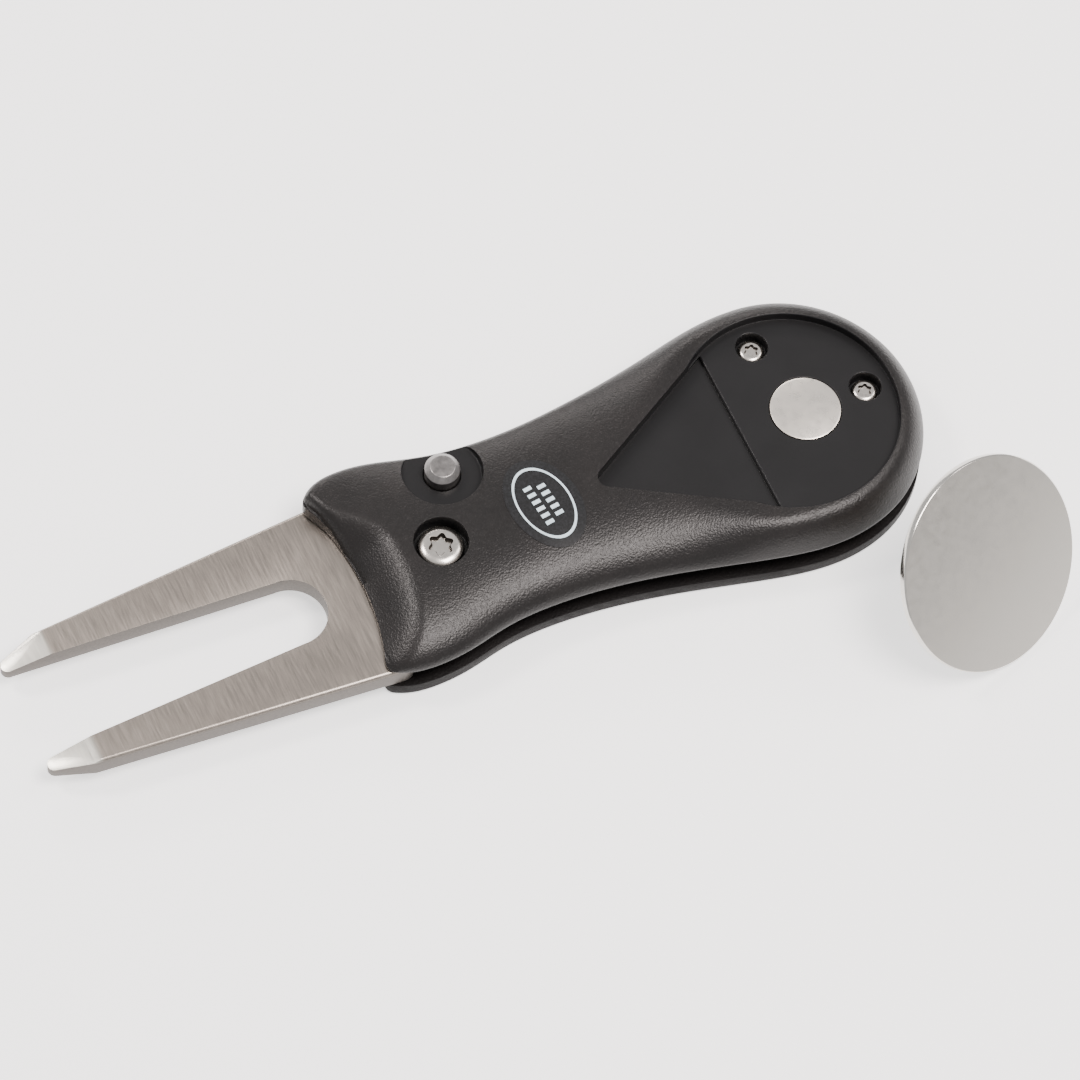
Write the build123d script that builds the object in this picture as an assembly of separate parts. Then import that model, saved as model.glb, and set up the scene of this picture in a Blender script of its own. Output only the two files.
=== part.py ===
from build123d import *
import math
import os

# Folding divot tool: a two-prong steel fork that turns out of a two-shell plastic
# handle, a release button, and a loose steel ball marker with its magnet seat.
# Millimetres. Origin on the table under the fork's pivot, +X towards the round head,
# +Y towards the closed back of the handle, +Z up.

os.makedirs("parts", exist_ok=True)

# ---- levels above the table ---------------------------------------------------
PLATE_TOP = 1.9                 # inside face of the bottom shell
BLADE_BOTTOM = 2.2
BLADE_TOP = 4.6
CEILING = 4.9                   # inside face of the top shell
CROWN = 8.7                     # top of the handle
POCKET_FLOOR = 7.5
THUMB_FLOOR = 6.9
DISH_FLOOR = 6.8
PIVOT_SEAT = 6.0                # shoulder under the pivot screw's head
SCREW_SEAT = 5.8                # shoulder under the rear screws' heads

# ---- handle outline -----------------------------------------------------------
HEAD_X = 41.9                   # centre of the round head
HEAD_R = 15.65
NOSE_X = -9.35                  # middle of the hollow front edge
BACK_SIDE = [(-11.3, 10.9), (-8.6, 12.9), (-5.2, 13.4), (-1.5, 13.0), (3.0, 11.9),
             (9.0, 11.2), (16.0, 11.4), (25.0, 12.8), (33.0, 14.5)]
FRONT_SIDE = [(33.0, -14.5), (24.0, -12.4), (15.0, -10.9), (8.0, -10.55), (3.0, -11.0),
              (-1.5, -12.0), (-5.2, -12.4), (-9.0, -12.0), (-11.3, -10.8)]
NOSE_CORNER_R = 1.2
NOSE_ARC_X = -40.05             # centre of the hollow front edge's arc
NOSE_SLOPE_START = 5.5          # the sloping nose face starts at this height
NOSE_SLOPE_RUN = 2.7            # and runs back this far at the crown
TOP_ROUND = 3.0
BOTTOM_ROUND = 0.35

# ---- marker pocket, thumb recess, magnet, rear screws -------------------------
POCKET_X = 42.3
POCKET_R = 12.4
STEP_X = 36.4                   # straight step between the thumb recess and the pocket
STEP_HALF = 10.75
THUMB_TIP_X = 18.6
THUMB_TIP_R = 1.3
MAGNET_X = 44.4
MAGNET_R = 4.0
MAGNET_T = 2.0                  # depth of its seat
MAGNET_TOP = 7.55               # it stands just proud of the pocket floor
REAR_SCREWS = [(POCKET_X, 9.5), (51.8, 0.0)]
REAR_BOSS_R = [2.3, 1.7]
REAR_HEAD_R = 1.35
REAR_BORE_R = 1.8
REAR_HEAD_T = 0.9
REAR_SHANK_R = 0.8
REAR_SHANK_LOW = 1.1            # screw end, just above the end of its hole
REAR_HOLE_LOW = 0.9
REAR_SOCKET_R = 0.75

# ---- button housing and spine of the bottom shell -----------------------------
HOUSING_X = (-7.3, 7.7)         # its ends are the fork's open and folded stops
HOUSING_Y = 6.7
TANG_CLEARANCE = 0.4
SPINE_FRONT = [(12.5, 10.35), (20.0, 9.3), (31.0, 9.3), (34.5, 10.8)]
SPINE_HEAD_MID = (55.2, 1.2)    # the spine's inner side round the folded fork
SPINE_END = [(53.6, -6.0), (60.0, -9.0), (60.0, 22.0), (12.5, 22.0)]
RIB_T = 1.6                     # ribs that join the screw bosses to the spine
SIDE_RIB_LENGTH = 3.0
END_RIB_LENGTH = 2.6

# ---- pivot --------------------------------------------------------------------
SLEEVE_R = 2.0
FORK_BORE_R = 2.05
SLEEVE_FLANGE_R = 3.2
SLEEVE_FLANGE_T = 0.8
PIVOT_SCREW_R = 1.2
PIVOT_SCREW_LOW = 1.6
PIVOT_SOCKET_R = 1.35
SLEEVE_THREAD_LOW = 1.4         # bottom of the sleeve's blind thread
PIVOT_HEAD_R = 2.5
PIVOT_BORE_R = 2.95
PIVOT_HEAD_TOP = 7.5
WASHER_T = 0.25
LOWER_WASHER_R = 5.0
UPPER_WASHER_R = 2.8

# ---- fork ---------------------------------------------------------------------
SHOULDER_X = -7.6
SHOULDER_HALF = 11.55           # half width at the shoulder
TIP_START_X = -44.5
TIP_START_HALF = 8.75
TIP_X = -49.3
TIP_Y = 6.65
TIP_SWEEP = [(1.9, 1.15), (0.6, 0.72)]      # curve into the tip, as offsets from it
TIP_INNER = (0.95, -0.95)                   # start of the inner edge, likewise
SLOT_X = -17.86                 # centre of the slot's round end
SLOT_R = 4.1
SLOT_END_X = SLOT_X - 0.25      # the round end runs a little past its centre
TANG_R = 6.3
NECK_HALF = 5.04                # half width of the neck that joins the blade to its tang
NOTCH_R = 3.2
FOLD_ANGLE = 175.0
TIP_BEVEL_X = -43.8             # the ground bevel on the tips starts here
TIP_BEVEL_DROP = 1.2
SHOULDER_ROUND = 1.5
EDGE_ROUND = 0.5

# ---- opening spring in a groove round the fork's pivot ------------------------
GROOVE_IN = 2.95
GROOVE_OUT = 5.0
GROOVE_FLOOR = 3.3
SPRING_WIRE = 0.5
SPRING_MEAN_R = 3.95
SPRING_TURNS = 2.0
SPRING_LOW = 3.4
SPRING_HIGH = 4.7               # it stands a little out of its groove, to the top shell

# ---- release button -----------------------------------------------------------
BUTTON_XY = (3.9, 8.3)
DISH_R = 4.55
BUTTON_R = 2.0
BUTTON_HOLE_R = 2.08
BUTTON_TOP = 8.7
BUTTON_CHAMFER = 0.62
STOP_R = 2.25                   # wider stem below the ceiling, the upward stop
STOP_TOP = 4.85
COLLAR_R = 2.5
COLLAR_BOTTOM = 2.4
COLLAR_TOP = 3.6
CAVITY_R = 2.8
CAVITY_FLOOR = 0.5
BUTTON_BORE_R = 1.35
BUTTON_BORE_TOP = 6.2
BUTTON_SPRING_R = 0.9
BUTTON_SPRING_WIRE = 0.3
BUTTON_SPRING_TURNS = 7

# ---- loose ball marker, standing on its edge beside the tool ------------------
MARKER_R = 12.15
MARKER_T = 1.0
MARKER_XY = (53.5, -26.55)
MARKER_LEAN = 51.2              # face turned up from the table by this much
MARKER_HEADING = -67.4          # compass direction that its face looks towards
MARKER_GAP = 0.05
MARKER_CHAMFER = 0.15

# ---- label --------------------------------------------------------------------
LABEL_X = 12.2
LABEL_HALF = (6.0, 4.1)
LABEL_TURN = 97.0
LABEL_T = 0.06

LOBE_RING = 0.72                # six-lobed socket: where its lobes sit and how big they are,
LOBE_R = 0.28                   # as shares of the socket's radius
HEAD_ROUND = 0.45               # screw head's rounding as a share of its height
SOCKET_DEPTH = 0.55             # socket's depth, likewise
SPRING_GAP = 0.02               # air at each end of the button spring
PAST = 1.0                      # how far a cutter reaches past what it cuts
NEAR = 0.01                     # tolerance for picking edges by their place


def slab(face, low, high):
    """Upright solid on a plan outline, between two heights."""
    return extrude(Pos(0, 0, low) * face, amount=high - low)


def peg(radius, low, high, at=(0.0, 0.0)):
    """Upright round solid between two heights."""
    return Pos(at[0], at[1], (low + high) / 2) * Cylinder(radius, high - low)


def handle_face(rounded=True):
    """Plan outline of the handle, with or without its two rounded nose corners."""
    head = []
    for turn in range(90, -91, -30):
        angle = math.radians(turn)
        head.append((HEAD_X + HEAD_R * math.cos(angle), HEAD_R * math.sin(angle)))
    sides = Spline(*BACK_SIDE, *head, *FRONT_SIDE)
    nose = ThreePointArc(BACK_SIDE[0], (NOSE_X, 0), FRONT_SIDE[-1])
    face = make_face([sides, nose])
    if rounded:
        face = fillet(face.vertices(), NOSE_CORNER_R)
    return face


def thumb_face():
    """Triangle of the thumb recess, its tip towards the fork."""
    outline = Polyline((THUMB_TIP_X, 0), (STEP_X, STEP_HALF), (STEP_X, -STEP_HALF), close=True)
    face = make_face(outline)
    return fillet(face.vertices().sort_by(Axis.X)[:1], THUMB_TIP_R)


def torx_socket(radius, low, high, at):
    """Six-lobed driver recess: a round core and six round lobes."""
    socket = peg(radius * LOBE_RING, low, high, at)
    for k in range(6):
        turn = math.radians(60 * k)
        lobe = (at[0] + LOBE_RING * radius * math.cos(turn),
                at[1] + LOBE_RING * radius * math.sin(turn))
        socket += peg(radius * LOBE_R, low, high, lobe)
    return socket


def helix_spring(mean_r, wire, low, high, turns, at=(0.0, 0.0)):
    """Round-wire helical spring between two heights, wire included."""
    rise = high - low - wire
    path = Helix(pitch=rise / turns, height=rise, radius=mean_r)
    section = Plane(origin=path @ 0, z_dir=path % 0) * Circle(wire / 2)
    return Pos(at[0], at[1], low + wire / 2) * sweep(section, path=path, is_frenet=True)


def make_top_shell():
    """Upper shell with a rounded top, a sloping nose and all its recesses."""
    shell = slab(handle_face(rounded=False), CEILING, CROWN)
    rim = shell.edges().filter_by_position(Axis.Z, CROWN - NEAR, CROWN + NEAR)
    shell = fillet(rim.sort_by(SortBy.LENGTH)[-1], TOP_ROUND)
    shell &= slab(handle_face(), CEILING, CROWN)
    nose_r = NOSE_X - NOSE_ARC_X
    nose_h = CROWN - NOSE_SLOPE_START + PAST
    nose_run = NOSE_SLOPE_RUN * nose_h / (CROWN - NOSE_SLOPE_START)
    nose = Cone(nose_r, nose_r + nose_run, nose_h)
    shell -= Pos(NOSE_ARC_X, 0, NOSE_SLOPE_START + nose_h / 2) * nose
    above = CROWN + PAST
    shell -= peg(POCKET_R, POCKET_FLOOR, above, (POCKET_X, 0))
    shell -= slab(thumb_face(), THUMB_FLOOR, above)
    shell -= peg(MAGNET_R, POCKET_FLOOR - MAGNET_T, above, (MAGNET_X, 0))
    for at in REAR_SCREWS:
        shell -= peg(REAR_BORE_R, SCREW_SEAT, above, at)
        shell -= peg(REAR_SHANK_R, CEILING - PAST, above, at)
    shell -= peg(SLEEVE_R, CEILING - PAST, above)
    shell -= peg(PIVOT_BORE_R, PIVOT_SEAT, above)
    shell -= peg(DISH_R, DISH_FLOOR, above, BUTTON_XY)
    shell -= peg(BUTTON_HOLE_R, CEILING - PAST, above, BUTTON_XY)
    return shell


def make_bottom_shell():
    """Floor plate with the button's housing, the back spine and the screw bosses."""
    shell = slab(handle_face(), 0.0, PLATE_TOP)
    under = shell.edges().filter_by_position(Axis.Z, -NEAR, NEAR)
    shell = fillet(under, BOTTOM_ROUND)
    walls = slab(handle_face(), PLATE_TOP, CEILING)

    low_x, high_x = HOUSING_X
    block = make_face(Polyline((low_x, HOUSING_Y), (high_x, HOUSING_Y), (high_x, HEAD_R),
                               (low_x, HEAD_R), close=True))
    housing = walls & slab(block, PLATE_TOP, CEILING)
    shell += housing - peg(TANG_R + TANG_CLEARANCE, 0.0, CEILING + PAST)

    spine = make_face([
        Polyline(*SPINE_FRONT),
        ThreePointArc(SPINE_FRONT[-1], SPINE_HEAD_MID, SPINE_END[0]),
        Polyline(*SPINE_END, SPINE_FRONT[0]),
    ])
    shell += walls & slab(spine, PLATE_TOP, CEILING)

    for at, radius in zip(REAR_SCREWS, REAR_BOSS_R):
        shell += peg(radius, PLATE_TOP, CEILING, at)
    (side_x, side_y), (end_x, end_y) = REAR_SCREWS
    rib_z = (PLATE_TOP + CEILING) / 2
    rib_h = CEILING - PLATE_TOP
    shell += Pos(side_x, side_y + REAR_BOSS_R[0], rib_z) * Box(RIB_T, SIDE_RIB_LENGTH, rib_h)
    shell += Pos(end_x + END_RIB_LENGTH, end_y, rib_z) * Box(END_RIB_LENGTH, RIB_T, rib_h)
    for at in REAR_SCREWS:
        shell -= peg(REAR_SHANK_R, REAR_HOLE_LOW, CEILING + PAST, at)

    shell -= peg(CAVITY_R, CAVITY_FLOOR, CEILING + PAST, BUTTON_XY)
    shell -= peg(SLEEVE_R, -PAST, PLATE_TOP + PAST)
    shell -= peg(SLEEVE_FLANGE_R, -PAST, SLEEVE_FLANGE_T)
    return shell


def prong_outline(side):
    """One prong's outer edge, round tip and inner edge; side is +1 or -1."""
    start = (TIP_START_X, side * TIP_START_HALF)
    bends = [(TIP_X + dx, side * (TIP_Y + dy)) for dx, dy in TIP_SWEEP]
    inside = (TIP_X + TIP_INNER[0], side * (TIP_Y + TIP_INNER[1]))
    return [
        Line((SHOULDER_X, side * SHOULDER_HALF), start),
        Spline(start, *bends),
        ThreePointArc(bends[-1], (TIP_X, side * TIP_Y), inside),
        Line(inside, (SLOT_END_X, side * SLOT_R)),
    ]


def make_fork():
    """Two-prong blade with a round tang, cut for the pivot, the spring and the button."""
    slot_end = ThreePointArc((SLOT_END_X, SLOT_R), (SLOT_X + SLOT_R, 0), (SLOT_END_X, -SLOT_R))
    shoulder = Line((SHOULDER_X, SHOULDER_HALF), (SHOULDER_X, -SHOULDER_HALF))
    plan = make_face(prong_outline(1) + prong_outline(-1) + [slot_end, shoulder])
    corners = [v for v in plan.vertices() if abs(v.X - SHOULDER_X) < NEAR]
    plan = fillet(corners, SHOULDER_ROUND)
    fork = slab(plan, BLADE_BOTTOM, BLADE_TOP)
    top_edges = fork.edges().filter_by_position(Axis.Z, BLADE_TOP - NEAR, BLADE_TOP + NEAR)
    sides = [e for e in top_edges if e.length > -TIP_START_X / 2 and abs((e @ 0.5).Y) > TIP_START_HALF]
    fork = fillet(sides, EDGE_ROUND)
    neck = make_face(Polyline((SHOULDER_X, -NECK_HALF), (0, -NECK_HALF), (0, NECK_HALF),
                              (SHOULDER_X, NECK_HALF), close=True))
    fork += peg(TANG_R, BLADE_BOTTOM, BLADE_TOP) + slab(neck, BLADE_BOTTOM, BLADE_TOP)

    low, high = BLADE_BOTTOM - PAST, BLADE_TOP + PAST
    reach = math.hypot(*BUTTON_XY)
    angle = math.degrees(math.atan2(BUTTON_XY[1], BUTTON_XY[0]))
    for turn in (angle, angle - FOLD_ANGLE):
        at = (reach * math.cos(math.radians(turn)), reach * math.sin(math.radians(turn)))
        fork -= peg(NOTCH_R, low, high, at)
    fork -= peg(FORK_BORE_R, low, high)
    fork -= peg(GROOVE_OUT, GROOVE_FLOOR, high) - peg(GROOVE_IN, low, high + PAST)

    bevel = math.degrees(math.atan2(TIP_BEVEL_DROP, TIP_BEVEL_X - TIP_X))
    length, width, height = 30.0, 40.0, 10.0
    ground = Pos(-length / 2, 0, height / 2) * Box(length, width, height)
    return fork - Pos(TIP_BEVEL_X, 0, BLADE_TOP) * Rot(0, -bevel, 0) * ground


def make_pivot_sleeve():
    """Blind threaded sleeve with a flat flange, pressed in from the underside."""
    flange = peg(SLEEVE_FLANGE_R, 0.0, SLEEVE_FLANGE_T)
    thread = peg(PIVOT_SCREW_R, SLEEVE_THREAD_LOW, PIVOT_SEAT + PAST)
    return flange + peg(SLEEVE_R, 0.0, PIVOT_SEAT) - thread


def round_head_screw(head_r, seat, top, shank_r, shank_low, socket_r, at):
    """Screw with a low rounded head and a six-lobed socket."""
    head = peg(head_r, seat, top, at)
    head = fillet(head.edges().sort_by(Axis.Z)[-1], HEAD_ROUND * (top - seat))
    socket = torx_socket(socket_r, top - SOCKET_DEPTH * (top - seat), top + PAST, at)
    return head + peg(shank_r, shank_low, seat, at) - socket


def make_rear_screws():
    """The two screws that clamp the shells together under the ball marker."""
    top = SCREW_SEAT + REAR_HEAD_T
    return Compound(children=[
        round_head_screw(REAR_HEAD_R, SCREW_SEAT, top, REAR_SHANK_R, REAR_SHANK_LOW,
                         REAR_SOCKET_R, at) for at in REAR_SCREWS])


def washer(outer, low):
    """Thin washer round the pivot sleeve."""
    return peg(outer, low, low + WASHER_T) - peg(FORK_BORE_R, low - PAST, low + PAST)


def make_opening_spring():
    """Coil of the spring that opens the fork; the ends that hook into the parts are left out."""
    return helix_spring(SPRING_MEAN_R, SPRING_WIRE, SPRING_LOW, SPRING_HIGH, SPRING_TURNS)


def make_release_button():
    """Chamfered pin on a wider stem and collar, hollow below for its spring."""
    button = peg(BUTTON_R, STOP_TOP, BUTTON_TOP, BUTTON_XY)
    button = chamfer(button.edges().sort_by(Axis.Z)[-1], BUTTON_CHAMFER)
    button += peg(STOP_R, COLLAR_TOP, STOP_TOP, BUTTON_XY)
    button += peg(COLLAR_R, COLLAR_BOTTOM, COLLAR_TOP, BUTTON_XY)
    return button - peg(BUTTON_BORE_R, COLLAR_BOTTOM - PAST, BUTTON_BORE_TOP, BUTTON_XY)


def make_ball_marker():
    """Thin disc leaning on its edge, just clear of the table."""
    disc = Cylinder(MARKER_R, MARKER_T)
    disc = chamfer(disc.edges().filter_by(GeomType.CIRCLE), MARKER_CHAMFER)
    disc = Rot(0, 0, MARKER_HEADING) * Rot(0, MARKER_LEAN, 0) * disc
    lift = MARKER_GAP - disc.bounding_box().min.Z
    return Pos(MARKER_XY[0], MARKER_XY[1], lift) * disc


def make_label():
    """Flat oval film on the crown of the top shell."""
    oval = slab(Ellipse(*LABEL_HALF).face(), CROWN, CROWN + LABEL_T)
    return Pos(LABEL_X, 0, 0) * Rot(0, 0, LABEL_TURN) * oval


NODES = {
    "top_shell": make_top_shell(),
    "bottom_shell": make_bottom_shell(),
    "pivot_sleeve": make_pivot_sleeve(),
    "pivot_screw": round_head_screw(PIVOT_HEAD_R, PIVOT_SEAT, PIVOT_HEAD_TOP, PIVOT_SCREW_R,
                                    PIVOT_SCREW_LOW, PIVOT_SOCKET_R, (0.0, 0.0)),
    "lower_washer": washer(LOWER_WASHER_R, PLATE_TOP),
    "upper_washer": washer(UPPER_WASHER_R, CEILING - WASHER_T),
    "opening_spring": make_opening_spring(),
    "rear_screws": make_rear_screws(),
    "magnet": peg(MAGNET_R, POCKET_FLOOR - MAGNET_T, MAGNET_TOP, (MAGNET_X, 0)),
    "label": make_label(),
    "fork": make_fork(),
    "release_button": make_release_button(),
    "button_spring": helix_spring(BUTTON_SPRING_R, BUTTON_SPRING_WIRE, CAVITY_FLOOR + SPRING_GAP,
                                  BUTTON_BORE_TOP - SPRING_GAP, BUTTON_SPRING_TURNS, BUTTON_XY),
    "ball_marker": make_ball_marker(),
}

for name, solid in NODES.items():
    export_step(solid, f"parts/{name}.step")
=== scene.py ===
"""Folding divot tool: a steel fork in a two-shell plastic handle, with its loose ball marker."""
import math

import bmesh
import bpy
import numpy as np
from mathutils import Matrix, Vector


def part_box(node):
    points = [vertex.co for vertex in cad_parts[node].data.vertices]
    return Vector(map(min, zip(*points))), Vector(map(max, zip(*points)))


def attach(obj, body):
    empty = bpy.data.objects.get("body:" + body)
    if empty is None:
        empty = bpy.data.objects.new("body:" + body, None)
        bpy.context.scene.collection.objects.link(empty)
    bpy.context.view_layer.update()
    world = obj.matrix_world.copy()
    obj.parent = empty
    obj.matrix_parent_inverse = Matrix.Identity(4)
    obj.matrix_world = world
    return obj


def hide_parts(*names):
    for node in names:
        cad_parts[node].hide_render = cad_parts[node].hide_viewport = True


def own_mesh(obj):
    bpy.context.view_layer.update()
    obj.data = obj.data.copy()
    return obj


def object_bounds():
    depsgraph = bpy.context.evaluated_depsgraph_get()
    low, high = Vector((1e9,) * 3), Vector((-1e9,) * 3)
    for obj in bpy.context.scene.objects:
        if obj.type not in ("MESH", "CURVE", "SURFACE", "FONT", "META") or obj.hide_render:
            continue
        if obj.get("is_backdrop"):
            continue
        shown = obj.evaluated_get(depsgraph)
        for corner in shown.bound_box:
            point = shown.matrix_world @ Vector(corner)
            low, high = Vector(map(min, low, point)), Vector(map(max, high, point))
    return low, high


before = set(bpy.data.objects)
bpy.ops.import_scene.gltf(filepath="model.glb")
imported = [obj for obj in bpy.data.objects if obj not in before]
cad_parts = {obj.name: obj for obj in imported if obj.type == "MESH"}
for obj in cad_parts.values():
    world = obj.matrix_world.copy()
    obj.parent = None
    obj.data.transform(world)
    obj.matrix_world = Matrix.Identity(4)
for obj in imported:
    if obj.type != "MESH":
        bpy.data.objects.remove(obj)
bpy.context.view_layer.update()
MM = 0.001


# ---- Bottom shell ---------------------------------------------------------------
# The thin lower half of the handle: a floor plate with the button's housing, the back
# spine and two screw bosses. Injection-moulded black nylon with a spark-eroded grain.

def node_tools(tree):
    """Short ways to add a node with its settings to a tree, and to join two nodes."""
    def add(kind, **settings):
        node = tree.nodes.new(kind)
        for key, value in settings.items():
            if key in node.inputs:
                node.inputs[key].default_value = value
            else:
                setattr(node, key, value)
        return node

    def join(source, output, target, socket):
        tree.links.new(source.outputs[output], target.inputs[socket])

    return add, join


def new_material(name):
    """An empty node material with its shader, and its node tools."""
    mat = bpy.data.materials.new(name)
    mat.use_nodes = True
    return mat, mat.node_tree.nodes["Principled BSDF"], *node_tools(mat.node_tree)


def ramp_of(add, stops):
    """A colour ramp with the given stops, each a position and a grey or a colour."""
    ramp = add("ShaderNodeValToRGB")
    elements = ramp.color_ramp.elements
    while len(elements) < len(stops):
        elements.new(0.5)
    for element, (position, value) in zip(elements, stops):
        element.position = position
        element.color = (*value, 1) if isinstance(value, tuple) else (value, value, value, 1)
    return ramp


def moulded_plastic(name, dark, light, grain_size, grain_depth, rough_low, rough_high, specular):
    """Moulded plastic: a leather-like grain of small cells, with softly rounded edges."""
    edge_round = 0.12 * MM
    mat, shader, add, join = new_material(name)
    where = add("ShaderNodeTexCoord")
    cells = add("ShaderNodeTexVoronoi", Scale=1 / grain_size)
    cells.feature = "SMOOTH_F1"
    pebbles = add("ShaderNodeTexNoise", Scale=0.6 / grain_size, Detail=3.0, Roughness=0.6)
    cloud = add("ShaderNodeTexNoise", Scale=180.0, Detail=4.0)
    for node in (cells, pebbles, cloud):
        join(where, "Object", node, "Vector")
    grain = add("ShaderNodeMix", data_type="FLOAT")
    grain.inputs["Factor"].default_value = 0.5
    join(cells, "Distance", grain, "A")
    join(pebbles, "Fac", grain, "B")
    soft_edge = add("ShaderNodeBevel", Radius=edge_round)
    bump = add("ShaderNodeBump", Strength=1.0, Distance=grain_depth)
    join(grain, "Result", bump, "Height")
    join(soft_edge, "Normal", bump, "Normal")
    join(bump, "Normal", shader, "Normal")
    colour = ramp_of(add, [(0.35, dark), (0.70, light)])
    join(cloud, "Fac", colour, "Fac")
    join(colour, "Color", shader, "Base Color")
    rough = ramp_of(add, [(0.30, rough_low), (0.70, rough_high)])
    join(pebbles, "Fac", rough, "Fac")
    join(rough, "Color", shader, "Roughness")
    shader.inputs["Specular IOR Level"].default_value = specular
    return mat


SAME_PLACE = 0.002 * MM
SAME_PLANE = 0.002


def finished_copy(node, name, material, edge=0.0, angle=35.0, crisp=30.0):
    """A CAD node's shape with its doubles merged and the edges over an angle broken by a bevel."""
    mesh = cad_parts[node].data.copy()
    mesh.name = name
    body = bmesh.new()
    body.from_mesh(mesh)
    bmesh.ops.remove_doubles(body, verts=body.verts, dist=SAME_PLACE)
    bmesh.ops.dissolve_degenerate(body, edges=body.edges, dist=SAME_PLACE)
    flat = [e for e in body.edges if len(e.link_faces) == 2 and e.calc_face_angle(0.0) < SAME_PLANE]
    bmesh.ops.dissolve_edges(body, edges=flat, use_verts=False)
    if edge:
        sharp = [e for e in body.edges
                 if len(e.link_faces) == 2 and e.calc_face_angle(0.0) > math.radians(angle)]
        bmesh.ops.bevel(body, geom=sharp, offset=edge * MM, segments=2, profile=0.6,
                        affect="EDGES", clamp_overlap=True)
    body.to_mesh(mesh)
    body.free()
    return finish_mesh(mesh, name, [material], crisp)


def finish_mesh(mesh, name, materials, angle=30.0):
    """Puts a mesh in the scene, smooth except across edges over the angle, each face's finish kept."""
    finish = [face.material_index for face in mesh.polygons]
    mesh.materials.clear()
    for material in materials:
        mesh.materials.append(material)
    mesh.polygons.foreach_set("material_index", finish)
    if mesh.has_custom_normals:
        mesh.attributes.remove(mesh.attributes["custom_normal"])
    mesh.polygons.foreach_set("use_smooth", [True] * len(mesh.polygons))
    mesh.set_sharp_from_angle(angle=math.radians(angle))
    piece = bpy.data.objects.new(name, mesh)
    bpy.context.scene.collection.objects.link(piece)
    return piece


GRAIN_SIZE = 0.19 * MM
# The bottom shell is the same nylon as the top shell, here a little darker and far less shiny: painted
# shade under the top shell.
painted_shade_grained = moulded_plastic("dull_grained_plastic", dark=(0.0036, 0.0030, 0.0029),
                               light=(0.0060, 0.0050, 0.0048), grain_size=GRAIN_SIZE,
                               grain_depth=0.045 * MM, rough_low=0.40, rough_high=0.50,
                               specular=0.09)
bottom_shell = finished_copy("bottom_shell", "bottom_shell_body", painted_shade_grained, edge=0.08)
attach(bottom_shell, "handle")
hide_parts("bottom_shell")


# ---- Pivot sleeve and washers ---------------------------------------------------
# A blind steel sleeve with a flat flange is pressed in from below; the fork turns on it
# between two thin nylon washers. Turned steel, nickel plated; washers are punched film.

def bright_metal(name, colour, roughness, streak=0.0, tint=0.08):
    """Plain plated or polished metal with fine random marks, darker and rougher where they lie."""
    mat, shader, add, join = new_material(name)
    where = add("ShaderNodeTexCoord")
    marks = add("ShaderNodeTexNoise", Scale=900.0, Detail=5.0, Roughness=0.65)
    join(where, "Object", marks, "Vector")
    low = tuple(c * (1 - tint) for c in colour)
    shade = ramp_of(add, [(0.35, low), (0.65, colour)])
    join(marks, "Fac", shade, "Fac")
    join(shade, "Color", shader, "Base Color")
    rough = ramp_of(add, [(0.30, roughness), (0.75, roughness * 1.35)])
    join(marks, "Fac", rough, "Fac")
    join(rough, "Color", shader, "Roughness")
    if streak:
        bump = add("ShaderNodeBump", Strength=0.5, Distance=streak)
        join(marks, "Fac", bump, "Height")
        join(bump, "Normal", shader, "Normal")
    shader.inputs["Metallic"].default_value = 1.0
    return mat


plated = bright_metal("plated_screw", (0.62, 0.585, 0.54), roughness=0.21, streak=0.004 * MM)
sleeve = finished_copy("pivot_sleeve", "pivot_sleeve_body", plated, edge=0.10)
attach(sleeve, "handle")
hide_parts("pivot_sleeve")

nylon = moulded_plastic("washer_film", dark=(0.62, 0.60, 0.54), light=(0.70, 0.68, 0.62),
                        grain_size=0.5 * MM, grain_depth=0.004 * MM, rough_low=0.45,
                        rough_high=0.55, specular=0.5)
for side in ("lower", "upper"):
    washer = finished_copy(f"{side}_washer", f"{side}_washer_ring", nylon, edge=0.03)
    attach(washer, "handle")
    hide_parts(f"{side}_washer")


# ---- Opening spring and button spring -------------------------------------------
# Two coils of hard-drawn steel wire: one lies in the fork's groove round the pivot and
# throws the fork open, the other stands inside the release button and lifts it.

def node_tree(name, inputs):
    """An empty Geometry Nodes tree with the named inputs, its two ends and its node tools."""
    tree = bpy.data.node_groups.new(name, "GeometryNodeTree")
    for label, kind in inputs:
        tree.interface.new_socket(label, in_out="INPUT", socket_type=kind)
    tree.interface.new_socket("Geometry", in_out="OUTPUT", socket_type="NodeSocketGeometry")
    source = tree.nodes.new("NodeGroupInput")
    sink = tree.nodes.new("NodeGroupOutput")
    return tree, source, sink, *node_tools(tree)


def run_tree(tree, name, values, start=None):
    """Runs a tree on a new object with the given input values and returns its plain mesh."""
    host = bpy.data.objects.new(name + "_maker", start or bpy.data.meshes.new(name + "_start"))
    bpy.context.scene.collection.objects.link(host)
    modifier = host.modifiers.new("tree", "NODES")
    modifier.node_group = tree
    for item in tree.interface.items_tree:
        if item.in_out == "INPUT" and item.name in values:
            modifier[item.identifier] = values[item.name]
    host.update_tag()
    graph = bpy.context.evaluated_depsgraph_get()
    mesh = bpy.data.meshes.new_from_object(host.evaluated_get(graph), depsgraph=graph)
    mesh.name = name
    bpy.data.objects.remove(host)
    return mesh


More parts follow.
